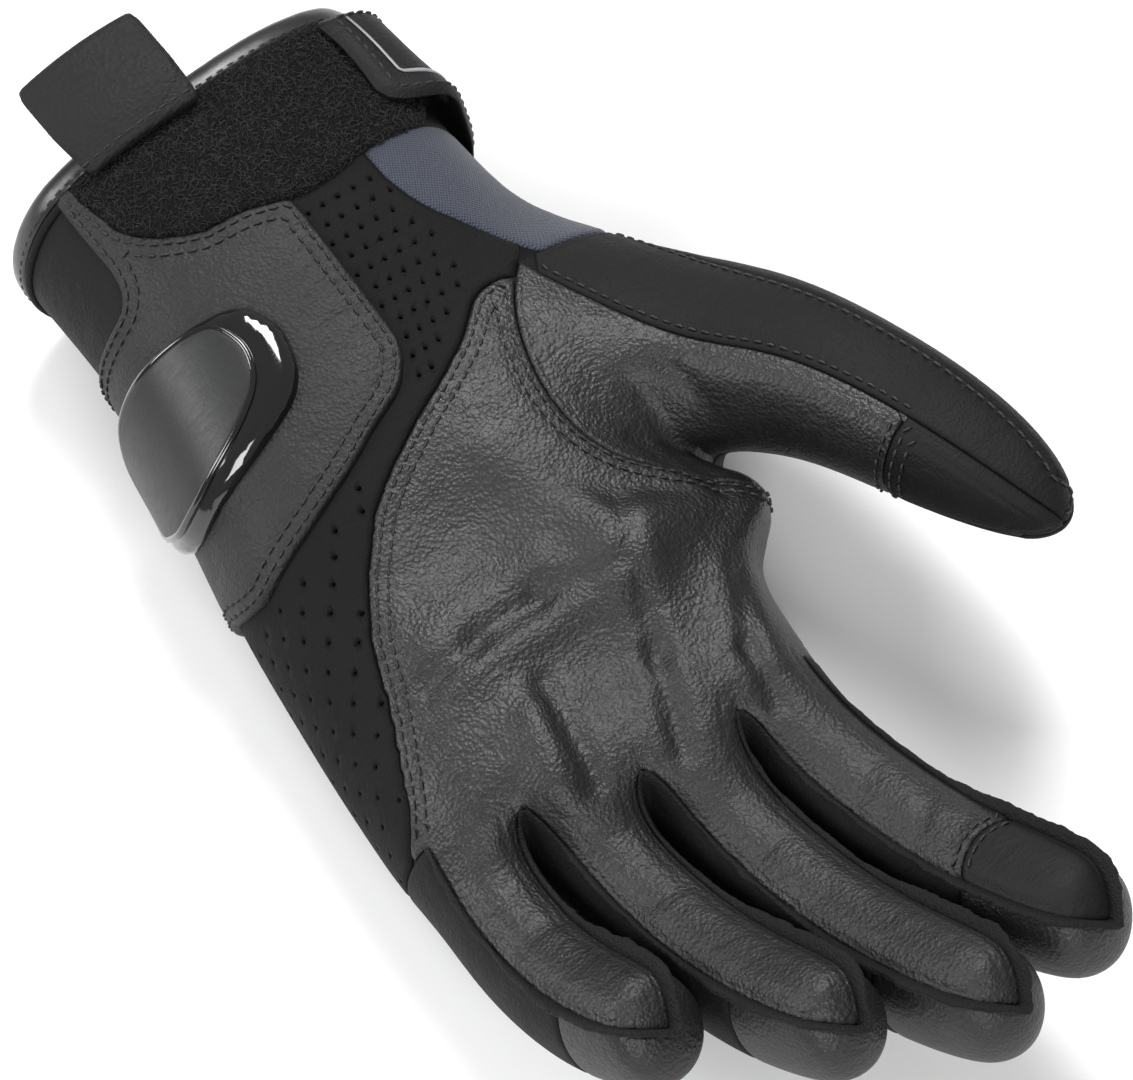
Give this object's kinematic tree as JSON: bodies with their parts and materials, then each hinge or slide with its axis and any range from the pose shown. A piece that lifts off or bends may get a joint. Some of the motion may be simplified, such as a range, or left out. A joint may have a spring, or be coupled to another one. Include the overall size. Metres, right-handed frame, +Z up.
{
  "type": "motorcycle glove",
  "caption": "Short-cuff leather motorcycle glove for a left hand, lying palm up on its back, hollow for the hand and fingers, with a palm slider and a hook-and-loop wrist strap.",
  "frame": {"origin": "on the resting surface, under the middle of the glove's box", "axes": "+Y from the cuff towards the fingertips, +Z up out of the palm, thumb towards -X"},
  "size_m": [0.158, 0.2914, 0.0655],
  "materials": {
    "palm_leather": "pebbled goat leather with a soft gloss",
    "matte_leather": "matte suede-like leather",
    "stretch_fabric": "woven navy stretch fabric",
    "loop_fabric": "brushed loop pile",
    "binding_vinyl": "smooth glossy binding",
    "hook_tape": "hook tape",
    "slider_plastic": "polished hard plastic",
    "inlay_rubber": "matte moulded insert"
  },
  "bodies": {
    "root": {"palm_panel": "palm_leather", "perforated_panel": "matte_leather", "wrist_stretch_panel": "stretch_fabric", "back_panel": "stretch_fabric", "cuff_panel": "matte_leather", "index_side_panel": "matte_leather", "little_side_panel": "matte_leather", "fourchette_index_middle": "matte_leather", "fourchette_middle_ring": "matte_leather", "fourchette_ring_little": "matte_leather", "fingertip_cap_index": "palm_leather", "fingertip_cap_middle": "palm_leather", "fingertip_cap_ring": "palm_leather", "fingertip_cap_little": "palm_leather", "index_touch_pad": "matte_leather", "thumb_gusset": "palm_leather", "thumb_tip_patch": "palm_leather", "thumb_outer_panel": "matte_leather", "thumb_back_panel": "matte_leather", "heel_patch": "palm_leather", "loop_field": "loop_fabric", "slider_base": "slider_plastic", "slider_inlay": "inlay_rubber", "cuff_binding": "binding_vinyl", "pull_tab": "matte_leather", "closure_strap": "matte_leather", "hook_patch": "hook_tape"}
  },
  "joints": []
}
